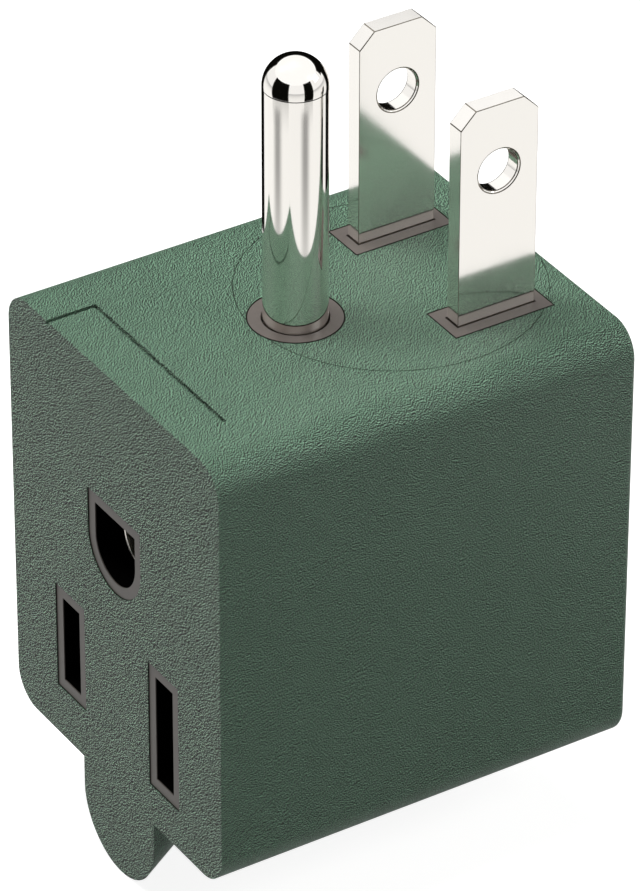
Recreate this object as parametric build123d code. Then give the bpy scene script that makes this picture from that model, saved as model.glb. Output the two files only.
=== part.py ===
from build123d import *
import os
from math import cos, radians, sin

# Right angle plug adapter, in millimetres. The prongs point along +Z and the
# outlet face looks along -Y. The origin lies on the plug face, midway between
# the two blades. The body is laid out from the inside: the metal sets the
# size of the insulator, and the moulded jacket adds its walls to that.

# Pitch of the prongs, and of the openings that take the next plug
blade_pitch = 12.7
ground_offset = 11.9

# Blades
blade_width = 6.3
blade_thickness = 1.4
blade_reach = 16.8
blade_chamfer = 1.2
blade_hole_radius = 1.9
blade_hole_height = 11.55
tang_shoulder = 0.65
tang_length = 3.9

# Ground pin
pin_radius = 2.385
pin_reach = 20.85
pin_groove_radius = 2.15
pin_groove_top = 0.1
pin_groove_length = 0.8
pin_flange_radius = 3.2
pin_flange_thickness = 1.2
pin_spigot_radius = 1.2
pin_head_radius = 1.9
pin_head_thickness = 0.6

# Sheet metal of the contacts
strip_thickness = 0.6
strap_width = 4.0
strap_bend_radius = 1.2
limb_width = 3.8

# Blade contacts
contact_gap = 1.4
pinch_gap = 1.1
mouth_gap = 2.6
pinch_setback = 3.0
line_leaf_height = 6.6
neutral_leaf_height = 8.2

# Round ground contact
socket_radius = 2.45
socket_length = 19.0
socket_split = 1.0

# Rivets that hold the blades to their contacts
rivet_radius = 0.8
rivet_head_radius = 1.4
rivet_head_thickness = 0.6
rivet_height = 2.0
rivet_edge_radius = 0.25

# Openings in the outlet face
slot_width = 2.3
line_slot_height = 7.1
neutral_slot_height = 8.8
ground_hole_radius = 2.67
ground_hole_crown = 2.6

# Collars of the insulator that reach the outer faces
slot_collar = 0.88
blade_collar_x = 1.14
blade_collar_y = 0.89
pin_collar = 1.0
collar_recess = 0.1

# Walls of the insulator
bridge_roof = 2.8
bridge_well = 4.4
bridge_wall = 1.0
carrier_roof = 1.65
carrier_floor = 1.25
carrier_side = 2.15
carrier_front = 1.2
cover_thickness = 2.4

# Walls of the jacket
front_wall = 2.5
top_wall = 2.2
side_wall = 3.45
floor_wall = 2.75
back_wall = 2.2
front_reach = 26.7

# Outside of the jacket
corner_radius = 2.5
back_edge_radius = 0.5
tongue_half_width = 4.8
tongue_drop = 7.15
tongue_slope = 41.0
groove_width = 0.35
groove_depth = 0.3
groove_half_length = 8.55
groove_setback = 3.8

# Clearances
prong_gap = 0.1
rivet_gap = 0.05
seat_gap = 0.15
strap_gap = 0.3

# Places that follow from the sizes above
blade_x = blade_pitch / 2
tang_half_width = blade_width / 2 + tang_shoulder
roof_top = -top_wall
roof_under = roof_top - bridge_roof
carrier_top = roof_under - bridge_well
socket_outer = socket_radius + strip_thickness
ground_pocket = socket_outer + seat_gap
ground_z = carrier_top - carrier_roof - ground_pocket
slot_z = ground_z - ground_offset
neutral_pocket = neutral_leaf_height / 2 + seat_gap
carrier_bottom = slot_z - max(neutral_slot_height / 2, neutral_pocket) - seat_gap - carrier_floor
leaf_offset = (contact_gap + strip_thickness) / 2
leaf_outer = leaf_offset + strip_thickness / 2
mouth_offset = (mouth_gap + strip_thickness) / 2
slot_pocket = mouth_offset + strip_thickness / 2 + seat_gap
core_half_width = blade_x + slot_pocket + carrier_side
well_rear = tang_half_width + prong_gap
core_rear = well_rear + bridge_wall
carrier_rear = core_rear - cover_thickness
bend_y = carrier_rear - seat_gap - leaf_outer
limb_front = bend_y - limb_width
core_front = -front_reach + front_wall
pocket_front = core_front + carrier_front
socket_rear = core_front + socket_length
well_front = -ground_offset - pin_flange_radius - seat_gap
strap_top = carrier_top + pin_head_thickness + strap_gap + strip_thickness
strap_rear = carrier_rear - seat_gap
shaft_front = socket_rear - strap_width / 2
body_back = core_rear + back_wall
body_bottom = carrier_bottom - floor_wall
body_half_width = core_half_width + side_wall
body_height = -body_bottom
rivet_y = bend_y - limb_width / 2
rivet_z = roof_under - rivet_height


def block(x, y, z):
    """Box between a low and a high limit along each axis."""
    limits = (x, y, z)
    size = [high - low for low, high in limits]
    middle = [(high + low) / 2 for low, high in limits]
    return Pos(*middle) * Box(*size)


def rod(radius, start, end, axis, at):
    """Cylinder along an axis between two places, through the point at."""
    turn = {"X": Rot(0, 90, 0), "Y": Rot(90, 0, 0), "Z": Rot(0, 0, 0)}[axis]
    middle = {"X": Pos((start + end) / 2, *at),
              "Y": Pos(at[0], (start + end) / 2, at[1]),
              "Z": Pos(*at, (start + end) / 2)}[axis]
    return middle * turn * Cylinder(radius, end - start)


def facing_front(sketch, y, depth):
    """Sketch in X and Z, set at y and pushed towards +Y by depth."""
    return extrude(Plane.XZ.offset(-y) * sketch, -depth)


def ground_shape(grow):
    """Ground opening: round below, flat on top, widened all round by grow."""
    radius = ground_hole_radius + grow
    crown = ground_hole_crown + grow
    lower = Circle(radius) & Pos(0, -radius) * Rectangle(2 * radius, 2 * radius)
    upper = Pos(0, crown / 2) * Rectangle(2 * radius, crown)
    return Pos(0, ground_z) * (lower + upper)


def slot_shape(side, height, grow):
    """Blade opening on one side, widened all round by grow."""
    return Pos(side * blade_x, slot_z) * Rectangle(slot_width + 2 * grow, height + 2 * grow)


def outlet_shapes(grow):
    """The three openings of the outlet face."""
    return [
        ground_shape(grow),
        slot_shape(-1, line_slot_height, grow),
        slot_shape(1, neutral_slot_height, grow),
    ]


def carrier_blank():
    """Outside of the contact carrier, with a collar round each opening."""
    blank = block((-core_half_width, core_half_width), (core_front, carrier_rear),
                  (carrier_bottom, carrier_top))
    collar_front = -front_reach + collar_recess
    for shape in outlet_shapes(slot_collar):
        blank += facing_front(shape, collar_front, core_front - collar_front + carrier_front / 2)
    return blank


def cover_blank():
    """Plate behind the carrier that keeps the contacts in their pockets."""
    return block((-core_half_width, core_half_width), (carrier_rear, core_rear),
                 (carrier_bottom, carrier_top))


def bridge_blank():
    """Outside of the prong bridge, with a collar round each prong."""
    blank = block((-core_half_width, core_half_width), (well_front - bridge_wall, core_rear),
                  (carrier_top, roof_top))
    half_x = blade_thickness / 2 + blade_collar_x
    half_y = blade_width / 2 + blade_collar_y
    for side in (-1, 1):
        middle = side * blade_x
        blank += block((middle - half_x, middle + half_x), (-half_y, half_y), (roof_under, 0))
    blank += rod(pin_radius + pin_collar, roof_under, 0, "Z", (0, -ground_offset))
    return blank


def contact_carrier():
    """Carrier with its openings, the pockets behind them and the shafts for the straps."""
    carrier = carrier_blank()
    for shape in outlet_shapes(0):
        carrier -= facing_front(shape, -front_reach, front_wall + carrier_front)
    carrier -= rod(ground_pocket, core_front, carrier_rear, "Y", (0, ground_z))
    half_strap = strap_width / 2 + seat_gap
    carrier -= block((-half_strap, half_strap), (shaft_front, carrier_rear), (ground_z, carrier_top))
    for side, leaf in ((-1, line_leaf_height), (1, neutral_leaf_height)):
        middle = side * blade_x
        half_leaf = leaf / 2 + seat_gap
        half_shaft = leaf_outer + seat_gap
        carrier -= block((middle - slot_pocket, middle + slot_pocket), (pocket_front, carrier_rear),
                         (slot_z - half_leaf, slot_z + half_leaf))
        carrier -= block((middle - half_shaft, middle + half_shaft),
                         (limb_front - seat_gap, carrier_rear), (slot_z, carrier_top))
    return carrier


def prong_bridge():
    """Bridge with its well from below and a close hole for each prong."""
    bridge = bridge_blank()
    side_room = core_half_width - bridge_wall
    bridge -= block((-side_room, side_room), (well_front, well_rear), (carrier_top, roof_under))
    half_x = blade_thickness / 2 + prong_gap
    half_y = blade_width / 2 + prong_gap
    for side in (-1, 1):
        middle = side * blade_x
        bridge -= block((middle - half_x, middle + half_x), (-half_y, half_y), (roof_under, 0))
    bridge -= rod(pin_radius + prong_gap, roof_under, 0, "Z", (0, -ground_offset))
    return bridge


def tongue():
    """Rounded tongue under the outlet face, with an underside that rises to the back."""
    straight = tongue_drop - tongue_half_width
    root = corner_radius
    tip = Pos(0, body_bottom - straight) * Circle(tongue_half_width)
    neck = Rectangle(2 * tongue_half_width, straight + root)
    profile = tip + Pos(0, body_bottom + (root - straight) / 2) * neck
    rise = Vector(0, cos(radians(tongue_slope)), sin(radians(tongue_slope)))
    face = Plane.XZ.offset(front_reach) * profile
    return extrude(face, tongue_drop / sin(radians(tongue_slope)), dir=rise)


def top_groove():
    """Thin groove on top: in from the front edge, then along the width."""
    across_y = -front_reach + groove_setback
    half = groove_width / 2
    depth = (-groove_depth, 0)
    along = block((-groove_half_length - half, -groove_half_length + half),
                  (-front_reach, across_y + half), depth)
    across = block((-groove_half_length - half, groove_half_length),
                   (across_y - half, across_y + half), depth)
    return along + across


def outer_jacket():
    """Jacket moulded round the insulator."""
    profile = RectangleRounded(2 * body_half_width, body_height, corner_radius)
    body = facing_front(Pos(0, body_bottom / 2) * profile, -front_reach, front_reach + body_back)
    back_edges = body.faces().sort_by(Axis.Y)[-1].edges()
    body = fillet(back_edges, back_edge_radius)
    body += tongue()
    body -= top_groove()
    body -= carrier_blank() + cover_blank() + bridge_blank()
    for shape in outlet_shapes(slot_collar):
        body -= facing_front(shape, -front_reach, collar_recess)
    return body


def blade(side):
    """Flat blade with cut tip corners, a hole and a wider tang below the roof."""
    half = blade_width / 2
    chamfer_z = blade_reach - blade_chamfer
    tang_end = roof_under - tang_length
    outline = Polygon(
        (-half, roof_under), (-half, chamfer_z), (-half + blade_chamfer, blade_reach),
        (half - blade_chamfer, blade_reach), (half, chamfer_z), (half, roof_under),
        (tang_half_width, roof_under), (tang_half_width, tang_end),
        (-tang_half_width, tang_end), (-tang_half_width, roof_under), align=None)
    plate = extrude(Plane.YZ * outline, blade_thickness / 2, both=True)
    plate = Pos(side * blade_x, 0, 0) * plate
    low = side * blade_x - blade_thickness
    high = side * blade_x + blade_thickness
    plate -= rod(blade_hole_radius, low, high, "X", (0, blade_hole_height))
    plate -= rod(rivet_radius + rivet_gap, low, high, "X", (rivet_y, rivet_z))
    return plate


def ground_pin():
    """Round pin with a domed tip, a neck groove, a flange below the roof and a headed spigot."""
    centre = (0, -ground_offset)
    flange_under = roof_under - pin_flange_thickness
    groove_bottom = pin_groove_top - pin_groove_length
    pin = rod(pin_radius, pin_groove_top, pin_reach - pin_radius, "Z", centre)
    pin += Pos(*centre, pin_reach - pin_radius) * Sphere(pin_radius)
    pin += rod(pin_groove_radius, groove_bottom, pin_groove_top, "Z", centre)
    pin += rod(pin_radius, strap_top, groove_bottom, "Z", centre)
    pin += rod(pin_flange_radius, flange_under, roof_under, "Z", centre)
    strap_under = strap_top - strip_thickness
    pin += rod(pin_spigot_radius, strap_under, strap_top, "Z", centre)
    pin += rod(pin_head_radius, strap_under - pin_head_thickness, strap_under, "Z", centre)
    return pin


def leaf(side):
    """Section of one spring leaf: straight, pinched near its front end, flared at the mouth."""
    mouth_y = pocket_front + seat_gap
    pinch = (pinch_gap + strip_thickness) / 2
    centre_line = [
        (mouth_offset, mouth_y),
        (pinch, mouth_y + pinch_setback),
        (leaf_offset, limb_front),
        (leaf_offset, bend_y),
    ]
    half = strip_thickness / 2
    inner = [(side * (x - half), y) for x, y in centre_line]
    outer = [(side * (x + half), y) for x, y in reversed(centre_line)]
    return Polygon(*inner, *outer, align=None)


def blade_contact(side, height):
    """Two leaves joined by a bend at the rear, and a limb up to the blade's tang."""
    bend = Circle(leaf_outer) - Circle(leaf_outer - strip_thickness)
    bend &= Pos(0, leaf_outer) * Rectangle(2 * leaf_outer, 2 * leaf_outer)
    section = leaf(1) + leaf(-1) + Pos(0, bend_y) * bend
    middle = Pos(side * blade_x, 0, slot_z)
    fork = extrude(middle * section, height / 2, dir=(0, 0, 1), both=True)
    near = side * (blade_x + leaf_outer - strip_thickness)
    far = side * (blade_x + leaf_outer)
    limb_top = roof_under - seat_gap
    limb = block(sorted((near, far)), (limb_front, bend_y), (slot_z, limb_top))
    hole = rod(rivet_radius + rivet_gap, *sorted((near, far)), "X", (rivet_y, rivet_z))
    return fork + limb - hole


def ground_contact():
    """Split tube with a strap that turns back over it to the ground pin."""
    tube = rod(socket_outer, core_front, socket_rear, "Y", (0, ground_z))
    tube -= rod(socket_radius, core_front, socket_rear, "Y", (0, ground_z))
    half_split = socket_split / 2
    tube -= block((-half_split, half_split), (core_front, socket_rear), (ground_z - socket_outer, ground_z))
    low = ground_z + socket_radius
    span = strap_top - low
    front_end = -ground_offset - pin_head_radius - strip_thickness
    length = strap_rear - front_end + strap_bend_radius
    outside = RectangleRounded(length, span, strap_bend_radius)
    inside = RectangleRounded(length - 2 * strip_thickness, span - 2 * strip_thickness,
                              strap_bend_radius - strip_thickness)
    middle = Pos(strap_rear - length / 2, low + span / 2)
    strap = extrude(Plane.YZ * middle * (outside - inside), strap_width / 2, both=True)
    beyond = front_end - strap_bend_radius
    strap -= block((-strap_width, strap_width), (beyond, front_end), (low, strap_top))
    strap -= block((-strap_width, strap_width), (beyond, socket_rear - strap_width / 2),
                   (low, strap_top - strip_thickness))
    hole = rod(pin_spigot_radius, strap_top - strip_thickness, strap_top, "Z", (0, -ground_offset))
    return tube + strap - hole


def rivet(side):
    """Rivet through a blade's tang and the limb of its contact."""
    inner = blade_x - blade_thickness / 2
    outer = blade_x + leaf_outer
    at = (rivet_y, rivet_z)
    body = rod(rivet_radius, inner, outer, "X", at)
    for start, end, rim in (
        (inner - rivet_head_thickness, inner, 0),
        (outer, outer + rivet_head_thickness, -1),
    ):
        head = rod(rivet_head_radius, start, end, "X", at)
        body += fillet(head.faces().sort_by(Axis.X)[rim].edges(), rivet_edge_radius)
    return body if side > 0 else mirror(body, Plane.YZ)


def main():
    pieces = {
        "outer_jacket": outer_jacket(),
        "contact_carrier": contact_carrier(),
        "carrier_cover": cover_blank(),
        "prong_bridge": prong_bridge(),
        "line_blade": blade(-1),
        "neutral_blade": blade(1),
        "ground_pin": ground_pin(),
        "line_contact": blade_contact(-1, line_leaf_height),
        "neutral_contact": blade_contact(1, neutral_leaf_height),
        "ground_contact": ground_contact(),
        "line_rivet": rivet(-1),
        "neutral_rivet": rivet(1),
    }
    os.makedirs("parts", exist_ok=True)
    for name, piece in pieces.items():
        export_step(piece, f"parts/{name}.step")


main()
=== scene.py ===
import math

import bmesh
import bpy
from bpy.props import FloatProperty, FloatVectorProperty, PointerProperty
from mathutils import Matrix, Vector


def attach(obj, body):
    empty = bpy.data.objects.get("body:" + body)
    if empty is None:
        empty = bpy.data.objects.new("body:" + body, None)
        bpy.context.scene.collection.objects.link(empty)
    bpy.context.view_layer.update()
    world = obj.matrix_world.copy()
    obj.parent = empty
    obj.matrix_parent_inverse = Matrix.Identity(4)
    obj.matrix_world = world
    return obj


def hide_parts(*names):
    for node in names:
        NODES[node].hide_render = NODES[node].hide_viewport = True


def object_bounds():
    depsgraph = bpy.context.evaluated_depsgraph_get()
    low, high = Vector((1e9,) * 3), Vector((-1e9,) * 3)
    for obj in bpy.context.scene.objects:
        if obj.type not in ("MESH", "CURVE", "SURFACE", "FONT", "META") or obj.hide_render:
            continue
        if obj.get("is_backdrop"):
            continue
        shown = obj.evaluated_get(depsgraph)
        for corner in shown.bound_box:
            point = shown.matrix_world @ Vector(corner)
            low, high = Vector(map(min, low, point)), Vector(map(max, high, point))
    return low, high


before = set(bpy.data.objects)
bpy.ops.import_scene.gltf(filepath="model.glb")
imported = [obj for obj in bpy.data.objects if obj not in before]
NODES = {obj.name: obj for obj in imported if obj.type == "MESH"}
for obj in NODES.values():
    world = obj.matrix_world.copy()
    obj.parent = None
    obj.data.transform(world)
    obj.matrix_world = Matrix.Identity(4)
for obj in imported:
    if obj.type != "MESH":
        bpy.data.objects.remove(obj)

bl_info = {
    "name": "Right Angle Plug Adapter",
    "version": (1, 0, 0),
    "blender": (4, 5, 0),
    "location": "3D View > Sidebar > Plug Adapter",
    "description": "Finishes a moulded right angle plug adapter and lights it for a product view",
    "category": "Object",
}

MM = 0.001

# Places in the CAD model. The plug face is at z = 0, and the blades stand at y = 0.
RIGHT_X = 14 * MM
BLADE_X = 6.35 * MM
COLLAR_Y = -26.6 * MM
PIN_Y = -11.9 * MM
GROUND_Z = -14.25 * MM
SLOT_Z = -26.15 * MM
HOLE_Z = 11.55 * MM

# Outlines of the insulator's collars, each as a radius or as half a width and half a length. The ground
# opening's collar has a radius below its middle, and a height above it.
PIN_COLLAR = 3.385 * MM
BLADE_COLLAR = (1.84 * MM, 4.04 * MM)
LINE_COLLAR = (2.03 * MM, 4.43 * MM)
NEUTRAL_COLLAR = (2.03 * MM, 5.28 * MM)
GROUND_COLLAR = (3.55 * MM, 3.48 * MM)


def linear(code):
    """Turns an sRGB hex colour into the linear one that Blender's sockets take."""
    parts = [int(code[i:i + 2], 16) / 255 for i in (1, 3, 5)]
    return [p / 12.92 if p <= 0.04045 else ((p + 0.055) / 1.055) ** 2.4 for p in parts]


def rgba(colour):
    """A linear colour with its alpha, as a node's colour socket takes it."""
    return list(colour) + [1.0]


WHITE = rgba((1, 1, 1))


def add(tree, kind, inputs=(), **settings):
    """Adds a node with its settings. Inputs go by name or number, each as a value or the socket to link."""
    node = tree.nodes.new(kind)
    for name, value in settings.items():
        setattr(node, name, value)
    for key, value in dict(inputs).items():
        if isinstance(value, bpy.types.NodeSocket):
            tree.links.new(value, node.inputs[key])
        else:
            node.inputs[key].default_value = value
    return node


def new_material(name):
    """An empty node material and its tree."""
    material = bpy.data.materials.new(name)
    material.use_nodes = True
    material.node_tree.nodes.clear()
    return material, material.node_tree


def finish_node(name, material):
    """Puts a material on every slot of a CAD node."""
    for slot in NODES[name].material_slots:
        slot.material = material


class JacketSettings(bpy.types.PropertyGroup):
    colour: FloatVectorProperty(
        name="Colour", description="Green of the vinyl", subtype="COLOR", default=linear("#5c7d68"))
    # The pale grey-green is painted sheen, laid on the steepest crests of the outlet face's grain
    painted_light: FloatVectorProperty(
        name="Rubbed colour", description="Pale grey-green of the rubbed grain on the outlet face",
        subtype="COLOR", default=linear("#c6eed2"))
    grain: FloatProperty(
        name="Grain", description="Width of one grain of the mould's texture", unit="LENGTH",
        default=0.09 * MM, min=0.05 * MM, precision=5)
    relief: FloatProperty(
        name="Relief", description="Depth of the grain, drawn deeper than real so that it shows",
        unit="LENGTH", default=0.15 * MM, min=0, precision=5)
    # The contrast sets how far the painted light and shade on the grain's flanks reach
    contrast: FloatProperty(
        name="Contrast", description="How much paler and darker the rubbed grain gets", subtype="FACTOR",
        default=0.97, min=0, max=1)
    gap: FloatProperty(
        name="Gap", description="Width of the hairline gap round each collar", unit="LENGTH",
        default=0.1 * MM, min=0.01 * MM, precision=5)
    witness: FloatProperty(
        name="Witness line", description="Width of the line round the insert", unit="LENGTH",
        default=0.045 * MM, min=0.01 * MM, precision=5)
    witness_radius: FloatProperty(
        name="Witness radius", description="Radius of the line round the insert", unit="LENGTH",
        default=11 * MM, min=9 * MM, max=11 * MM, precision=5)


class InsulatorSettings(bpy.types.PropertyGroup):
    colour: FloatVectorProperty(
        name="Colour", description="Brown-grey of the carrier round the openings", subtype="COLOR",
        default=linear("#57524e"))
    bridge: FloatVectorProperty(
        name="Bridge colour", description="Darker brown-grey of the bridge round the prongs",
        subtype="COLOR", default=linear("#564f4b"))


class MetalSettings(bpy.types.PropertyGroup):
    nickel: FloatVectorProperty(
        name="Nickel", description="Bright nickel plating of the prongs", subtype="COLOR",
        default=linear("#f4f1ec"))
    brass: FloatVectorProperty(
        name="Brass", description="Brass of the contacts and rivets", subtype="COLOR",
        default=linear("#d9b777"))
    edge: FloatProperty(
        name="Blade edge", description="Width of the softened edges of the blades", unit="LENGTH",
        default=0.05 * MM, min=0.01 * MM, max=0.2 * MM, precision=5)
    hole: FloatProperty(
        name="Hole", description="Radius of the hole through each blade", unit="LENGTH",
        default=1.6 * MM, min=1 * MM, max=1.75 * MM, precision=5)
    countersink: FloatProperty(
        name="Countersink", description="Width of the chamfer round the hole", unit="LENGTH",
        default=0.13 * MM, min=0.02 * MM, max=0.2 * MM, precision=5)
    pin_radius: FloatProperty(
        name="Pin radius", description="Radius of the ground pin as it shows above the plug face",
        unit="LENGTH", default=2.3 * MM, max=2.385 * MM, precision=5)
    pin_reach: FloatProperty(
        name="Pin reach", description="Height of the pin's tip above the plug face", unit="LENGTH",
        default=20.78 * MM, max=20.85 * MM, precision=5)


class StudioSettings(bpy.types.PropertyGroup):
    ambient: FloatProperty(
        name="Ambient", description="Level of the light from all round", default=0.1, min=0)
    key: FloatProperty(
        name="Key", description="Level of the overhead soft box", default=0.95, min=0)
    rim: FloatProperty(
        name="Rim", description="Level of the smaller soft boxes at the front left, the back and the right",
        default=0.315, min=0)
    key_size: FloatProperty(
        name="Key size", description="Side of the overhead soft box", unit="LENGTH", default=0.32, min=0.01)


class AdapterSettings(bpy.types.PropertyGroup):
    jacket: PointerProperty(type=JacketSettings)
    insulator: PointerProperty(type=InsulatorSettings)
    metal: PointerProperty(type=MetalSettings)
    studio: PointerProperty(type=StudioSettings)


def eroded_grain(tree, facing, width):
    """Pebbles of a spark-eroded mould: their height, and how much of it is lost a step along the surface
    towards the painted light.
    """
    place = add(tree, "ShaderNodeTexCoord").outputs["Object"]
    # The grain is longer across the adapter than it is deep, and shortest along its height. It's counted from
    # half a grain off the right side, the outlet's collars and the top, so that the faces there cut the noise
    # between its lattice planes, where it's strongest.
    stretch = (0.95, 1.0, 1.1)
    start = [0.5 * width - c * s for c, s in zip((RIGHT_X, COLLAR_Y, 0.0), stretch)]
    here = add(tree, "ShaderNodeVectorMath", {
        0: place, 1: stretch, 2: start}, operation="MULTIPLY_ADD").outputs[0]
    # The step leads along the surface towards the painted light, which comes from above and the front left
    painted_lamp_way = Vector((-0.55, -0.35, 0.75))
    step = 0.65 * width
    lean = add(tree, "ShaderNodeVectorMath", {0: facing, 1: painted_lamp_way}, operation="DOT_PRODUCT").outputs["Value"]
    away = add(tree, "ShaderNodeVectorMath", {0: facing, "Scale": lean}, operation="SCALE").outputs[0]
    along = add(tree, "ShaderNodeVectorMath", {0: painted_lamp_way, 1: away}, operation="SUBTRACT").outputs[0]
    further = add(tree, "ShaderNodeVectorMath", {
        0: along, 1: [step] * 3, 2: here}, operation="MULTIPLY_ADD").outputs[0]
    # One pebble to each grain width of 0.09 mm, about twice as wide as real so that they show
    height, next_height = (
        add(tree, "ShaderNodeTexNoise", {"Vector": spot, "Scale": 1 / width, "Detail": 0.0}).outputs["Fac"]
        for spot in (here, further))
    slope = add(tree, "ShaderNodeMath", {0: height, 1: next_height}, operation="SUBTRACT").outputs[0]
    return height, slope


def vinyl(settings):
    """Soft PVC from a spark-eroded mould: matt, with a fine crisp grain and hardly any gloss. The grain's
    flanks carry painted light and shade, and the outlet face is painted greyer: near-black with painted sheen
    on its steepest crests."""
    material, tree = new_material("moulded_soft_pvc")
    facing = add(tree, "ShaderNodeNewGeometry").outputs["Normal"]
    height, slope = eroded_grain(tree, facing, settings.grain)
    # Slopes of the pebbles' flanks, as the height that a step up them loses
    gentle, steep, steepest = 0.045, 0.095, 0.12
    # Painted light and shade: flanks facing up and to the front left are painted pale, and those facing away
    # are painted dark, as a low light from there would shade the pebbles
    flank = add(tree, "ShaderNodeMapRange", {
        "Value": slope, "From Min": -gentle, "From Max": gentle}).outputs[0]
    body = add(tree, "ShaderNodeMix", {
        "Factor": flank, "A": rgba(c * (1 - settings.contrast) for c in settings.colour),
        "B": rgba(min(1.0, c * (1 + settings.contrast)) for c in settings.colour)}, data_type="RGBA")
    # Painted sheen and shade on the outlet face: only the steepest flanks towards the painted light take the
    # pale grey-green as painted sheen, and the rest is painted near-black as painted shade
    crest = add(tree, "ShaderNodeMapRange", {
        "Value": slope, "From Min": steep, "From Max": steepest}).outputs[0]
    outlet_painted_light = add(tree, "ShaderNodeMix", {
        "Factor": crest, "A": rgba(linear("#08100b")), "B": rgba(settings.painted_light)}, data_type="RGBA")
    # A surface belongs to the outlet face as far as it faces the front
    outward = add(tree, "ShaderNodeSeparateXYZ", {0: facing}).outputs["Y"]
    outlet = add(tree, "ShaderNodeMapRange", {
        "Value": outward, "From Min": -0.6, "From Max": -0.95}).outputs[0]
    tint = add(tree, "ShaderNodeMix", {
        "Factor": outlet, "A": body.outputs["Result"], "B": outlet_painted_light.outputs["Result"]}, data_type="RGBA")
    # Rubbing has left less gloss on the outlet face, and the pits are duller than the crests
    gloss = add(tree, "ShaderNodeMapRange", {"Value": outlet, "To Min": 0.5, "To Max": 0.22}).outputs[0]
    level = add(tree, "ShaderNodeMapRange", {"Value": height, "From Min": 0.25, "From Max": 0.75}).outputs[0]
    dull = add(tree, "ShaderNodeMapRange", {"Value": level, "To Min": 0.55, "To Max": 0.32}).outputs[0]
    bump = add(tree, "ShaderNodeBump", {"Strength": 1.0, "Distance": settings.relief, "Height": level})
    shader = add(tree, "ShaderNodeBsdfPrincipled", {
        "Base Color": tint.outputs["Result"], "Roughness": dull, "IOR": 1.53, "Specular IOR Level": gloss,
        "Normal": bump.outputs["Normal"]})
    add(tree, "ShaderNodeOutputMaterial", {"Surface": shader.outputs["BSDF"]})
    return material


def mottled(tree, place, patch, detail, dark, light):
    """A colour that wanders between a dark and a light one, in soft patches of the given width."""
    noise = add(tree, "ShaderNodeTexNoise", {"Vector": place, "Scale": 1 / patch, "Detail": detail})
    mix = add(tree, "ShaderNodeMix", {
        "Factor": noise.outputs["Fac"], "A": rgba(dark), "B": rgba(light)}, data_type="RGBA")
    return mix.outputs["Result"]


def hard_insulator(name, colour):
    """Glass-filled nylon, moulded: smooth and dull, with a faint mottle. Inside the openings it's painted
    near-black, without gloss, as painted shade.
    """
    material, tree = new_material(name)
    place = add(tree, "ShaderNodeTexCoord").outputs["Object"]
    # Mottle of the glass fibre, in patches 0.4 mm wide
    tint = mottled(tree, place, 0.4 * MM, 2.0, [c * 0.88 for c in colour], [c * 1.12 for c in colour])
    # The openings run back from the faces of their collars. Only the carrier, below this height, has any.
    over_carrier = -9.0 * MM
    spot = add(tree, "ShaderNodeSeparateXYZ", {0: place}).outputs
    behind = add(tree, "ShaderNodeMapRange", {
        "Value": spot["Y"], "From Min": COLLAR_Y + 0.02 * MM, "From Max": COLLAR_Y + 0.12 * MM}).outputs[0]
    below = add(tree, "ShaderNodeMath", {0: spot["Z"], 1: over_carrier}, operation="LESS_THAN").outputs[0]
    inside = add(tree, "ShaderNodeMath", {0: behind, 1: below}, operation="MULTIPLY").outputs[0]
    # Painted shade: the walls inside the openings turn near-black and lose their gloss
    shade = add(tree, "ShaderNodeMix", {
        "Factor": inside, "A": tint, "B": rgba(linear("#040404"))}, data_type="RGBA")
    gloss = add(tree, "ShaderNodeMapRange", {"Value": inside, "To Min": 0.5, "To Max": 0.0}).outputs[0]
    shader = add(tree, "ShaderNodeBsdfPrincipled", {
        "Base Color": shade.outputs["Result"], "Roughness": 0.45, "IOR": 1.53, "Specular IOR Level": gloss})
    add(tree, "ShaderNodeOutputMaterial", {"Surface": shader.outputs["BSDF"]})
    return material


def clouded_metal(name, colour, patch, detail, clear, hazy):
    """A metal whose roughness wanders between clear and hazy, in soft patches of the given width."""
    material, tree = new_material(name)
    place = add(tree, "ShaderNodeTexCoord").outputs["Object"]
    haze = add(tree, "ShaderNodeTexNoise", {"Vector": place, "Scale": 1 / patch, "Detail": detail})
    rough = add(tree, "ShaderNodeMapRange", {
        "Value": haze.outputs["Fac"], "To Min": clear, "To Max": hazy}).outputs[0]
    shader = add(tree, "ShaderNodeBsdfPrincipled", {
        "Base Color": rgba(colour), "Metallic": 1.0, "Roughness": rough})
    add(tree, "ShaderNodeOutputMaterial", {"Surface": shader.outputs["BSDF"]})
    return material


def bright_nickel(settings, name, polish):
    """Bright nickel plate over brass: a clean, slightly warm mirror. Stamped blades are a little hazier."""
    # Haze of the plating, in patches 1.5 mm wide
    return clouded_metal(name, settings.nickel, 1.5 * MM, 3.0, polish, 1.6 * polish)


def tinned_brass():
    """Tin-plated brass of the round ground contact: pale and bright, a little soft."""
    # Bloom of the tin, in patches 0.6 mm wide
    return clouded_metal("tinned_brass", linear("#e6e2da"), 0.6 * MM, 2.0, 0.12, 0.26)


def rolled_brass(settings):
    """Rolled brass strip: warm metal with a fine satin."""
    # Satin of the rolls, in patches 0.3 mm wide
    return clouded_metal("rolled_brass_strip", settings.brass, 0.3 * MM, 2.0, 0.22, 0.36)


def sheared_edge():
    """Edge of a stamped part: its bevels take a darker, greyer metal, so that they draw a fine dark line."""
    material, tree = new_material("darkened_edge_metal")
    place = add(tree, "ShaderNodeTexCoord").outputs["Object"]
    # Nicks along the edge, about 0.5 mm long
    tint = mottled(tree, place, 0.5 * MM, 2.0, linear("#4a4640"), linear("#8d877c"))
    shader = add(tree, "ShaderNodeBsdfPrincipled", {"Base Color": tint, "Metallic": 1.0, "Roughness": 0.3})
    add(tree, "ShaderNodeOutputMaterial", {"Surface": shader.outputs["BSDF"]})
    return material


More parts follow.
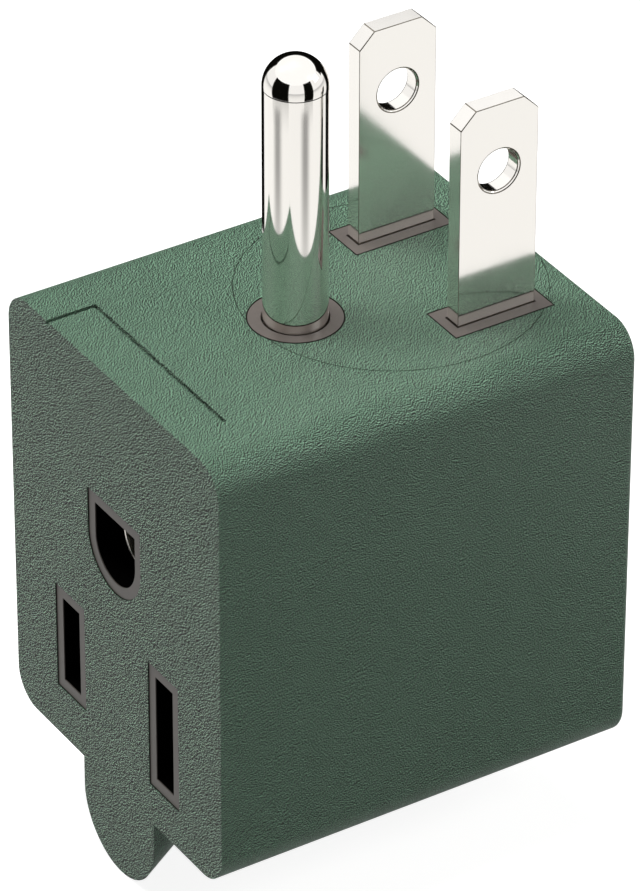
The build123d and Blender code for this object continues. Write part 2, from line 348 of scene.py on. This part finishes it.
def gap_shadow():
    """Painted shade: the dark depth of a hairline gap between two mouldings, which the eye sees as a dark
    line.
    """
    material, tree = new_material("painted_gap_shade")
    place = add(tree, "ShaderNodeTexCoord").outputs["Object"]
    # The dark is mottled a little, in specks 0.2 mm wide
    tint = mottled(tree, place, 0.2 * MM, 1.0, linear("#0b0a07"), linear("#1c1b16"))
    shader = add(tree, "ShaderNodeBsdfPrincipled", {
        "Base Color": tint, "Roughness": 0.9, "Specular IOR Level": 0.1})
    add(tree, "ShaderNodeOutputMaterial", {"Surface": shader.outputs["BSDF"]})
    return material


def place_piece(name, mesh, slot, *nodes):
    """Links a finished mesh as a piece of the object, in place of the CAD nodes named."""
    piece = bpy.data.objects.new(name, mesh)
    bpy.context.scene.collection.objects.link(piece)
    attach(piece, "root")
    if nodes:
        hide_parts(*nodes)


def baked(source, name):
    """A plain mesh of the source with its modifiers applied. The source goes."""
    bpy.context.view_layer.update()
    graph = bpy.context.evaluated_depsgraph_get()
    mesh = bpy.data.meshes.new_from_object(source.evaluated_get(graph))
    mesh.name = name
    source.modifiers.clear()
    bpy.data.objects.remove(source)
    return mesh


def circle(x, y, z, radius, count, start=0.0):
    """Points round a circle in a level plane."""
    turns = (start + 2 * math.pi * i / count for i in range(count))
    return [(x + radius * math.cos(a), y + radius * math.sin(a), z) for a in turns]


def rectangle(low, high):
    """Corners of a rectangle in a level plane or an upright one along X, from two opposite corners."""
    return [low, (high[0], *low[1:]), high, (low[0], *high[1:])]


def polyline_object(lines):
    """An object of edges only. Each line is its points and whether it closes."""
    points, edges = [], []
    for line, closed in lines:
        start = len(points)
        points += line
        count = len(line)
        edges += [(start + i, start + i + 1) for i in range(count - 1)]
        if closed:
            edges.append((start + count - 1, start))
    mesh = bpy.data.meshes.new("lines")
    mesh.from_pydata(points, edges, [])
    source = bpy.data.objects.new("lines", mesh)
    bpy.context.scene.collection.objects.link(source)
    return source


def tree_inputs(tree, **kinds):
    """Gives a geometry tree its geometry in and out and the named inputs. Returns each input's identifier."""
    for way in ("INPUT", "OUTPUT"):
        tree.interface.new_socket("Geometry", in_out=way, socket_type="NodeSocketGeometry")
    keys = {}
    for name, kind in kinds.items():
        title = name.replace("_", " ").capitalize()
        keys[name] = tree.interface.new_socket(title, in_out="INPUT", socket_type=kind).identifier
    return keys


def grow(source, tree, keys, **values):
    """Runs a geometry tree on the source, with its inputs set by identifier."""
    modifier = source.modifiers.new("grow", "NODES")
    modifier.node_group = tree
    for name, value in values.items():
        modifier[keys[name]] = value


def swept_lines_tree():
    """Sweeps a thin round bead along every line it is given."""
    tree = bpy.data.node_groups.new("swept_lines", "GeometryNodeTree")
    keys = tree_inputs(tree, width="NodeSocketFloat", sides="NodeSocketInt", material="NodeSocketMaterial")
    given = add(tree, "NodeGroupInput").outputs
    radius = add(tree, "ShaderNodeMath", {0: given["Width"], 1: 0.5}, operation="MULTIPLY").outputs[0]
    path = add(tree, "GeometryNodeMeshToCurve", {"Mesh": given["Geometry"]}).outputs["Curve"]
    bead = add(tree, "GeometryNodeCurvePrimitiveCircle", {"Resolution": given["Sides"], "Radius": radius})
    swept = add(tree, "GeometryNodeCurveToMesh", {
        "Curve": path, "Profile Curve": bead.outputs["Curve"], "Fill Caps": True}).outputs["Mesh"]
    real = add(tree, "GeometryNodeRealizeInstances", {"Geometry": swept}).outputs["Geometry"]
    done = add(tree, "GeometryNodeSetMaterial", {"Geometry": real, "Material": given["Material"]})
    add(tree, "NodeGroupOutput", {"Geometry": done.outputs["Geometry"]})
    return tree, keys


def place_bead(name, slot, lines, width, sides, material):
    """Sweeps a bead along lines and places it as a piece of the object."""
    tree, keys = swept_lines_tree()
    source = polyline_object(lines)
    grow(source, tree, keys, width=width, sides=sides, material=material)
    place_piece(name, baked(source, name), slot)


def turned_tree():
    """Turns a half outline about the Z axis, as on a lathe. Its points are (distance out, height, 0). Faces
    nearer to the line's height than the line's width take its material."""
    tree = bpy.data.node_groups.new("turned_part", "GeometryNodeTree")
    keys = tree_inputs(
        tree, segments="NodeSocketInt", line_height="NodeSocketFloat", line_width="NodeSocketFloat",
        material="NodeSocketMaterial", line_material="NodeSocketMaterial")
    given = add(tree, "NodeGroupInput").outputs
    outline = add(tree, "GeometryNodeMeshToCurve", {"Mesh": given["Geometry"]}).outputs["Curve"]
    around = add(tree, "GeometryNodeCurvePrimitiveCircle", {"Resolution": given["Segments"], "Radius": 1.0})
    # A profile's height runs against the circle's axis. It's moved in by the circle's radius to turn on its
    # own axis.
    inward = add(tree, "GeometryNodeTransform", {
        "Geometry": outline, "Translation": (-1.0, 0.0, 0.0), "Scale": (1.0, -1.0, 1.0)})
    turned = add(tree, "GeometryNodeCurveToMesh", {
        "Curve": around.outputs["Curve"], "Profile Curve": inward.outputs["Geometry"]}).outputs["Mesh"]
    # The points that meet on the axis become one
    closed = add(tree, "GeometryNodeMergeByDistance", {"Geometry": turned, "Distance": 0.002 * MM})
    real = add(tree, "GeometryNodeRealizeInstances", {"Geometry": closed.outputs["Geometry"]})
    plain = add(tree, "GeometryNodeSetMaterial", {
        "Geometry": real.outputs["Geometry"], "Material": given["Material"]})
    position = add(tree, "GeometryNodeInputPosition").outputs["Position"]
    height = add(tree, "ShaderNodeSeparateXYZ", {0: position}).outputs["Z"]
    near = add(tree, "ShaderNodeMath", {
        0: height, 1: given["Line height"], 2: given["Line width"]}, operation="COMPARE").outputs[0]
    done = add(tree, "GeometryNodeSetMaterial", {
        "Geometry": plain.outputs["Geometry"], "Selection": near, "Material": given["Line material"]})
    add(tree, "NodeGroupOutput", {"Geometry": done.outputs["Geometry"]})
    return tree, keys


def smooth_by_angle(mesh, degrees):
    """Shades a mesh smooth, apart from the edges where its faces turn by more than the angle."""
    mesh.polygons.foreach_set("use_smooth", [True] * len(mesh.polygons))
    mesh.set_sharp_from_angle(angle=math.radians(degrees))


def hole_rim(form):
    """The points round a blade's hole."""
    # A little more than the hole's radius of 1.9 mm in the CAD model
    reach = 1.95 * MM
    return [v for v in form.verts if math.hypot(v.co.y, v.co.z - HOLE_Z) < reach]


def softened_blade(node, settings, materials):
    """A merged copy of a blade with its hole countersunk and its edges softened. The softened edges take the
    second material."""
    mesh = NODES[node].data.copy()
    mesh.materials.clear()
    for material in materials:
        mesh.materials.append(material)
    touching = 0.001 * MM
    form = bmesh.new()
    form.from_mesh(mesh)
    bmesh.ops.remove_doubles(form, verts=form.verts, dist=touching)
    bmesh.ops.dissolve_limit(form, angle_limit=math.radians(1), verts=form.verts, edges=form.edges)
    rim = hole_rim(form)
    for vert in rim:
        shrink = settings.hole / math.hypot(vert.co.y, vert.co.z - HOLE_Z)
        vert.co.y *= shrink
        vert.co.z = HOLE_Z + (vert.co.z - HOLE_Z) * shrink
    # The lip is the short edges round the hole on each side of the blade, not those through it or across it
    around = set(rim)
    longest = 0.5 * MM
    lip = [e for e in form.edges if set(e.verts) <= around
           and abs(e.verts[0].co.x - e.verts[1].co.x) < touching and e.calc_length() < longest]
    bmesh.ops.bevel(form, geom=lip, offset=settings.countersink, segments=1, affect="EDGES",
                    clamp_overlap=False, material=-1)
    for face in form.faces:
        face.material_index = 0
        face.smooth = True
    form.to_mesh(mesh)
    form.free()
    source = bpy.data.objects.new(node + "_softened", mesh)
    bpy.context.scene.collection.objects.link(source)
    bevel = source.modifiers.new("edges", "BEVEL")
    bevel.width = settings.edge
    bevel.segments = 2
    bevel.limit_method = "ANGLE"
    bevel.angle_limit = math.radians(35)
    bevel.use_clamp_overlap = False
    bevel.material = len(materials) - 1
    done = baked(source, node + "_softened")
    smooth_by_angle(done, 20)
    # A bevel never shades into the flat beside it
    form = bmesh.new()
    form.from_mesh(done)
    for edge in form.edges:
        if len({face.material_index for face in edge.link_faces}) > 1:
            edge.smooth = False
    form.to_mesh(done)
    form.free()
    return done


def pin_outline(radius, top, seam, groove):
    """Half outline of the ground pin from its tip down, as (distance out, height)."""
    # A round dome in steps of 2.5 degrees
    dome = [(radius * math.sin(a), seam + radius * math.cos(a))
            for a in (math.radians(2.5 * i) for i in range(37))]
    dome[0] = (0.0, top)
    notch = [(radius - 0.4 * groove, seam - groove / 2), (radius, seam - groove)]
    neck_top = (radius, -0.25 * MM)
    # Neck, shank, flange under the roof, spigot and head in millimetres, with the CAD model's sizes. The neck
    # starts 0.35 mm lower than there.
    rest = [(r * MM, z * MM) for r, z in (
        (2.15, -0.25), (2.15, -0.7), (2.385, -0.7), (2.385, -5.0), (3.2, -5.0), (3.2, -6.2), (2.385, -6.2),
        (2.385, -7.9), (1.2, -7.9), (1.2, -8.5), (1.9, -8.5), (1.9, -9.1), (0.0, -9.1))]
    return dome + notch + [neck_top] + rest


def collar_outlines():
    """Outlines of the insulator's collars, in the plug face and then in the outlet face."""
    lines = [circle(0, PIN_Y, 0, PIN_COLLAR, 96)]
    half_x, half_y = BLADE_COLLAR
    for x in (-BLADE_X, BLADE_X):
        lines.append(rectangle((x - half_x, -half_y, 0), (x + half_x, half_y, 0)))
    for x, (half_x, half_z) in ((-BLADE_X, LINE_COLLAR), (BLADE_X, NEUTRAL_COLLAR)):
        low, high = (x - half_x, COLLAR_Y, SLOT_Z - half_z), (x + half_x, COLLAR_Y, SLOT_Z + half_z)
        lines.append(rectangle(low, high))
    radius, crown = GROUND_COLLAR
    bow = [(radius * math.cos(a), radius * math.sin(a)) for a in (-math.pi * i / 32 for i in range(33))]
    ground = [(radius, crown)] + bow + [(-radius, crown)]
    lines.append([(x, COLLAR_Y, GROUND_Z + z) for x, z in ground])
    return lines


def witness_arcs(radius):
    """Arcs of the round insert's outline. They run on the jacket alone, so they stop at each collar and short
    of the rounded back edge."""
    half_x, half_y = BLADE_COLLAR
    middle_y, last_y = -4.1 * MM, 6.5 * MM
    arcs = [[]]
    for point in circle(0, middle_y, 0, radius, 720, math.pi / 2):
        x, y, _ = point
        over_pin = math.hypot(x, y - PIN_Y) < PIN_COLLAR
        over_blade = abs(abs(x) - BLADE_X) < half_x and abs(y) < half_y
        if over_pin or over_blade or y > last_y:
            arcs.append([])
        else:
            arcs[-1].append(point)
    return [arc for arc in arcs if len(arc) > 1]


class ADAPTER_OT_jacket(bpy.types.Operator):
    """Finishes the moulded jacket"""
    bl_idname = "adapter.jacket"
    bl_label = "Jacket"

    def execute(self, context):
        finish_node("outer_jacket", vinyl(context.scene.plug_adapter.jacket))
        return {"FINISHED"}


class ADAPTER_OT_insulator(bpy.types.Operator):
    """Finishes the insulator that shows round the openings and prongs"""
    bl_idname = "adapter.insulator"
    bl_label = "Insulator"

    def execute(self, context):
        settings = context.scene.plug_adapter.insulator
        carrier = hard_insulator("moulded_nylon_carrier", settings.colour)
        for name in ("contact_carrier", "carrier_cover"):
            finish_node(name, carrier)
        bridge = hard_insulator("moulded_nylon_bridge", settings.bridge)
        finish_node("prong_bridge", bridge)
        # Lip of the pin's collar, which closes in on the pin just under the plug face
        lip = circle(0, PIN_Y, -0.07 * MM, 2.45 * MM, 128)
        place_bead("pin_collar_lip", "insulator", [(lip, True)], width=0.14 * MM, sides=8, material=bridge)
        return {"FINISHED"}


class ADAPTER_OT_blades(bpy.types.Operator):
    """Plates the two blades and softens their edges"""
    bl_idname = "adapter.blades"
    bl_label = "Blades"

    def execute(self, context):
        settings = context.scene.plug_adapter.metal
        # Roughness of the plating at its clearest
        polish = 0.085
        materials = (bright_nickel(settings, "nickel_plate_on_stamped_brass", polish), sheared_edge())
        for node in ("line_blade", "neutral_blade"):
            mesh = softened_blade(node, settings, materials)
            place_piece(node + "_plated", mesh, "prongs", node)
        return {"FINISHED"}


class ADAPTER_OT_pin(bpy.types.Operator):
    """Turns the ground pin, with its domed tip, neck, flange and head"""
    bl_idname = "adapter.pin"
    bl_label = "Ground pin"

    def execute(self, context):
        settings = context.scene.plug_adapter.metal
        # Roughness of the plating at its clearest
        polish = 0.045
        radius, top = settings.pin_radius, settings.pin_reach
        # Fine seam groove where the dome ends, whose faces take the painted gap shade
        seam, groove = top - radius, 0.07 * MM
        outline = pin_outline(radius, top, seam, groove)
        source = polyline_object([([(r, z, 0.0) for r, z in outline], False)])
        tree, keys = turned_tree()
        grow(source, tree, keys, segments=128, line_height=seam - groove / 2, line_width=0.6 * groove,
             material=bright_nickel(settings, "bright_nickel_plate_on_turned_brass", polish),
             line_material=gap_shadow())
        mesh = baked(source, "ground_pin_turned")
        mesh.transform(Matrix.Translation((0, PIN_Y, 0)))
        smooth_by_angle(mesh, 30)
        place_piece("ground_pin_turned", mesh, "prongs", "ground_pin")
        return {"FINISHED"}


class ADAPTER_OT_contacts(bpy.types.Operator):
    """Finishes the spring contacts and their rivets"""
    bl_idname = "adapter.contacts"
    bl_label = "Contacts"

    def execute(self, context):
        material = rolled_brass(context.scene.plug_adapter.metal)
        for name in ("line_contact", "neutral_contact", "line_rivet", "neutral_rivet"):
            finish_node(name, material)
        tin = tinned_brass()
        finish_node("ground_contact", tin)
        # The lip runs round the mouth of the tube from one side of the split under it to the other
        lip_y, lip_radius = -24.3 * MM, 2.55 * MM
        count, side = 96, 6
        ring = circle(0, 0, 0, lip_radius, count, -math.pi / 2)
        lip = [(x, lip_y, GROUND_Z + z) for x, z, _ in ring[side:count - side + 1]]
        place_bead("ground_contact_lip", "contacts", [(lip, False)], width=0.26 * MM, sides=12, material=tin)
        return {"FINISHED"}


class ADAPTER_OT_gaps(bpy.types.Operator):
    """Draws the hairline gaps round the collars, the bottom of the groove and the witness line of the round
    insert, as dark beads of painted shade
    """
    bl_idname = "adapter.gaps"
    bl_label = "Hairline gaps"

    def execute(self, context):
        settings = context.scene.plug_adapter.jacket
        # The shadow at the bottom of the engraved groove: in from the front edge, then along the width
        groove = [(x * MM, y * MM, -0.28 * MM) for x, y in ((-8.55, -26.4), (-8.55, -22.9), (8.5, -22.9))]
        gaps = [(line, True) for line in collar_outlines()] + [(groove, False)]
        arcs = [(line, False) for line in witness_arcs(settings.witness_radius)]
        # The beads carry painted shade, standing for the shadow in the gaps, the groove and the witness line
        material = gap_shadow()
        place_bead("collar_gaps", "insulator", gaps, width=settings.gap, sides=6, material=material)
        place_bead("witness_line", "jacket", arcs, width=settings.witness, sides=6, material=material)
        return {"FINISHED"}


def studio_world(settings):
    """Lights the object at the ambient level. The camera, mirrors and glass see it white."""
    world = bpy.data.worlds.new("studio")
    world.use_nodes = True
    tree = world.node_tree
    tree.nodes.clear()
    ray = add(tree, "ShaderNodeLightPath").outputs
    seen = ray["Is Camera Ray"]
    for other in ("Is Glossy Ray", "Is Transmission Ray"):
        seen = add(tree, "ShaderNodeMath", {0: seen, 1: ray[other]}, operation="MAXIMUM").outputs[0]
    ambient = add(tree, "ShaderNodeBackground", {"Color": WHITE, "Strength": settings.ambient})
    white = add(tree, "ShaderNodeBackground", {"Color": WHITE, "Strength": 1.0})
    both = add(tree, "ShaderNodeMixShader", {"Fac": seen, 1: ambient.outputs[0], 2: white.outputs[0]})
    add(tree, "ShaderNodeOutputWorld", {"Surface": both.outputs[0]})
    bpy.context.scene.world = world


def pale_floor():
    """Matt pale sheet. It shows white with the object's shadow, a little darker in gloss, and gives back two
    fifths of the light that falls on it."""
    material, tree = new_material("pale_paper_floor")
    ray = add(tree, "ShaderNodeLightPath").outputs
    albedo, seen_level, camera_level = 0.4, 0.555, 0.34
    seen = add(tree, "ShaderNodeMath", {
        0: ray["Is Camera Ray"], 1: ray["Is Glossy Ray"]}, operation="MAXIMUM").outputs[0]
    shown = add(tree, "ShaderNodeMath", {
        0: ray["Is Camera Ray"], 1: camera_level}, operation="MULTIPLY").outputs[0]
    lift = add(tree, "ShaderNodeMath", {
        0: seen, 1: seen_level, 2: shown}, operation="MULTIPLY_ADD").outputs[0]
    paper = add(tree, "ShaderNodeBsdfDiffuse", {"Color": rgba([albedo] * 3)})
    glow = add(tree, "ShaderNodeEmission", {"Color": WHITE, "Strength": lift})
    both = add(tree, "ShaderNodeAddShader", {0: paper.outputs[0], 1: glow.outputs[0]})
    add(tree, "ShaderNodeOutputMaterial", {"Surface": both.outputs[0]})
    return material


def flag_cloth(name, weight, fade=None):
    """Black flag cloth of some weight. A fade is the height where it's full, the height where it's gone, and
    the share of its width over which it thins out at each end."""
    material, tree = new_material(name)
    thick = weight
    if fade:
        full, gone, soft = fade
        place = add(tree, "ShaderNodeTexCoord").outputs
        height = add(tree, "ShaderNodeSeparateXYZ", {0: place["Object"]}).outputs["Z"]
        thick = add(tree, "ShaderNodeMapRange", {
            "Value": height, "From Min": gone, "From Max": full, "To Max": weight},
            interpolation_type="SMOOTHSTEP").outputs[0]
        across = add(tree, "ShaderNodeSeparateXYZ", {0: place["UV"]}).outputs["X"]
        for end in (0.0, 1.0):
            rise = add(tree, "ShaderNodeMapRange", {
                "Value": across, "From Min": end, "From Max": abs(end - soft)},
                interpolation_type="SMOOTHSTEP").outputs[0]
            thick = add(tree, "ShaderNodeMath", {0: thick, 1: rise}, operation="MULTIPLY").outputs[0]
    cloth = add(tree, "ShaderNodeEmission", {"Color": rgba(linear("#0a0a08")), "Strength": 1.0})
    clear = add(tree, "ShaderNodeBsdfTransparent")
    both = add(tree, "ShaderNodeMixShader", {"Fac": thick, 1: clear.outputs[0], 2: cloth.outputs[0]})
    add(tree, "ShaderNodeOutputMaterial", {"Surface": both.outputs[0]})
    return material


def white_card(level):
    """White card, lit to the given level."""
    material, tree = new_material("white_card")
    glow = add(tree, "ShaderNodeEmission", {"Color": WHITE, "Strength": level})
    add(tree, "ShaderNodeOutputMaterial", {"Surface": glow.outputs[0]})
    return material


def stage_mesh(name, points, faces, material):
    """A piece of the studio, which isn't part of the object."""
    mesh = bpy.data.meshes.new(name)
    mesh.from_pydata(points, [], faces)
    mesh.materials.append(material)
    piece = bpy.data.objects.new(name, mesh)
    bpy.context.scene.collection.objects.link(piece)
    piece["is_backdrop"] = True
    return piece


def mirror_only(piece):
    """Only mirrors and gloss see the piece. It casts no shadow and gives no light."""
    piece.visible_camera = False
    piece.visible_diffuse = False
    piece.visible_shadow = False
    piece.visible_transmission = False
    piece.visible_volume_scatter = False


def curved_flag(name, first, last, distance, low, high, material):
    """An upright flag bent round the ground pin, from one angle to another in degrees from +X."""
    steps = 24
    points = []
    for i in range(steps + 1):
        a = math.radians(first + (last - first) * i / steps)
        x, y = distance * math.cos(a), PIN_Y + distance * math.sin(a)
        points += [(x, y, low), (x, y, high)]
    faces = [(2 * i, 2 * i + 2, 2 * i + 3, 2 * i + 1) for i in range(steps)]
    piece = stage_mesh(name, points, faces, material)
    width = piece.data.uv_layers.new(name="width")
    for loop in piece.data.loops:
        width.data[loop.index].uv = (loop.vertex_index // 2 / steps, loop.vertex_index % 2)
    mirror_only(piece)


def hang_flags(floor_z):
    """Hangs the black flags that the prongs mirror."""
    behind = flag_cloth("flag_behind", 1.0, (38 * MM, 44.5 * MM, 0.04))
    far_behind = flag_cloth("flag_far_behind", 1.0, (165 * MM, 182 * MM, 0.04))
    side = flag_cloth("flag_side", 1.0, (-10 * MM, -19 * MM, 0.06))
    streak = flag_cloth("flag_streak", 0.62, (-20 * MM, -40 * MM, 0.45))
    # Name, first and last angle, distance, lowest and highest point, cloth
    for row in (
        ("flag_behind", 88, 199, 80 * MM, floor_z, 45 * MM, behind),
        ("flag_far_behind", 79, 198, 300 * MM, 70 * MM, 183 * MM, far_behind),
        ("flag_front", -116, -52, 60 * MM, -19 * MM, 53 * MM, side),
        ("flag_right", -4, 29, 60 * MM, -19 * MM, 53 * MM, side),
        ("streak_front", -116, -72, 60.5 * MM, floor_z, -17 * MM, streak),
        ("streak_right", -20, 22, 60.5 * MM, floor_z, -17 * MM, streak),
    ):
        curved_flag(*row)


def place_cards(floor_z):
    """Lays a dark card on the floor and hangs a white ceiling."""
    # The card keeps the floor's glare off the adapter's right side
    card_z = floor_z + 0.2 * MM
    card = rectangle((15 * MM, -42 * MM, card_z), (50 * MM, 30 * MM, card_z))
    mirror_only(stage_mesh("card_right", card, [(0, 1, 2, 3)], flag_cloth("card_right", 0.9)))
    # The ceiling is round, which makes the top of the pin's dome its whitest part
    count = 96
    ceiling = circle(0, PIN_Y, 270 * MM, 470 * MM, count)
    mirror_only(stage_mesh("ceiling", ceiling, [tuple(reversed(range(count)))], white_card(1.12)))


def soft_box(name, way, side, level):
    """Square soft box that lights a facing surface at the given level."""
    aim = Vector((0, -10 * MM, -10 * MM))
    way = Vector(way).normalized()
    distance = 0.5
    light = bpy.data.lights.new(name, "AREA")
    light.shape = "SQUARE"
    light.size = side
    light.energy = level * math.pi ** 2 * distance ** 2
    # A little warm
    light.color = (1.0, 0.99, 0.96)
    lamp = bpy.data.objects.new(name, light)
    bpy.context.scene.collection.objects.link(lamp)
    lamp.location = aim + way * distance
    lamp.rotation_mode = "QUATERNION"
    lamp.rotation_quaternion = way.to_track_quat("Z", "Y")


def camera(scene):
    """Stands where the picture's perspective puts it: 365 mm lens on a 36 mm sensor, 455 mm away."""
    azimuth, elevation, roll = (math.radians(a) for a in (57.7162, 33.6684, 0.1123))
    distance_mm = 454.76
    back = Vector((math.sin(azimuth) * math.cos(elevation), -math.cos(azimuth) * math.cos(elevation),
                   math.sin(elevation)))
    level = Vector((math.cos(azimuth), math.sin(azimuth), 0))
    rise = back.cross(level)
    right = level * math.cos(roll) + rise * math.sin(roll)
    up = rise * math.cos(roll) - level * math.sin(roll)
    aim = Vector((-0.2146, -9.7514, -11.5329)) * MM
    data = bpy.data.cameras.new("camera")
    data.sensor_fit = "HORIZONTAL"
    data.sensor_width = 36
    data.lens = 365.425
    data.clip_start = 0.01
    data.clip_end = 20
    eye = bpy.data.objects.new("camera", data)
    scene.collection.objects.link(eye)
    turn = Matrix((right, up, back)).transposed()
    eye.matrix_world = Matrix.Translation(aim + back * distance_mm * MM) @ turn.to_4x4()
    scene.camera = eye


class ADAPTER_OT_stage(bpy.types.Operator):
    """Builds the floor, the light and the camera"""
    bl_idname = "adapter.stage"
    bl_label = "Stage"

    def execute(self, context):
        scene = context.scene
        settings = scene.plug_adapter.studio
        scene.view_settings.view_transform = "Standard"
        studio_world(settings)
        floor_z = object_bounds()[0].z - 0.01 * MM
        reach = 3.0
        floor = rectangle((-reach, -reach, floor_z), (reach, reach, floor_z))
        stage_mesh("floor", floor, [(0, 1, 2, 3)], pale_floor())
        hang_flags(floor_z)
        place_cards(floor_z)
        soft_box("soft_box_over", (-0.22, -0.05, 0.97), settings.key_size, settings.key)
        soft_box("soft_box_left", (-0.42, -0.42, 0.8), 0.5 * settings.key_size, settings.rim)
        soft_box("soft_box_back", (0.5, 0.72, 0.48), 0.5 * settings.key_size, 0.55 * settings.rim)
        # Glints along the rounded edge between the top and the right side
        soft_box("soft_box_edge", (0.62, 0.44, 0.65), 0.35 * settings.key_size, 0.45 * settings.rim)
        camera(scene)
        return {"FINISHED"}


class ADAPTER_PT_panel(bpy.types.Panel):
    """Shows each group's settings and the buttons that finish it"""
    bl_idname = "ADAPTER_PT_panel"
    bl_label = "Plug Adapter"
    bl_space_type = "VIEW_3D"
    bl_region_type = "UI"
    bl_category = "Plug Adapter"

    def draw(self, context):
        settings = context.scene.plug_adapter
        for group, operators in (
            (settings.jacket, ("adapter.jacket", "adapter.gaps")),
            (settings.insulator, ("adapter.insulator",)),
            (settings.metal, ("adapter.blades", "adapter.pin", "adapter.contacts")),
            (settings.studio, ("adapter.stage",)),
        ):
            box = self.layout.box()
            for name in group.bl_rna.properties.keys():
                if name not in ("rna_type", "name"):
                    box.prop(group, name)
            for operator in operators:
                box.operator(operator)


CLASSES = (
    JacketSettings, InsulatorSettings, MetalSettings, StudioSettings, AdapterSettings,
    ADAPTER_OT_jacket, ADAPTER_OT_insulator, ADAPTER_OT_blades, ADAPTER_OT_pin, ADAPTER_OT_contacts,
    ADAPTER_OT_gaps, ADAPTER_OT_stage,
    ADAPTER_PT_panel,
)


def register():
    for cls in CLASSES:
        bpy.utils.register_class(cls)
    bpy.types.Scene.plug_adapter = PointerProperty(type=AdapterSettings)


def unregister():
    del bpy.types.Scene.plug_adapter
    for cls in reversed(CLASSES):
        bpy.utils.unregister_class(cls)


def main():
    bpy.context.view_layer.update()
    register()
    bpy.ops.adapter.jacket()
    bpy.ops.adapter.insulator()
    bpy.ops.adapter.blades()
    bpy.ops.adapter.pin()
    bpy.ops.adapter.contacts()
    bpy.ops.adapter.gaps()
    bpy.ops.adapter.stage()


if __name__ == "__main__":
    main()
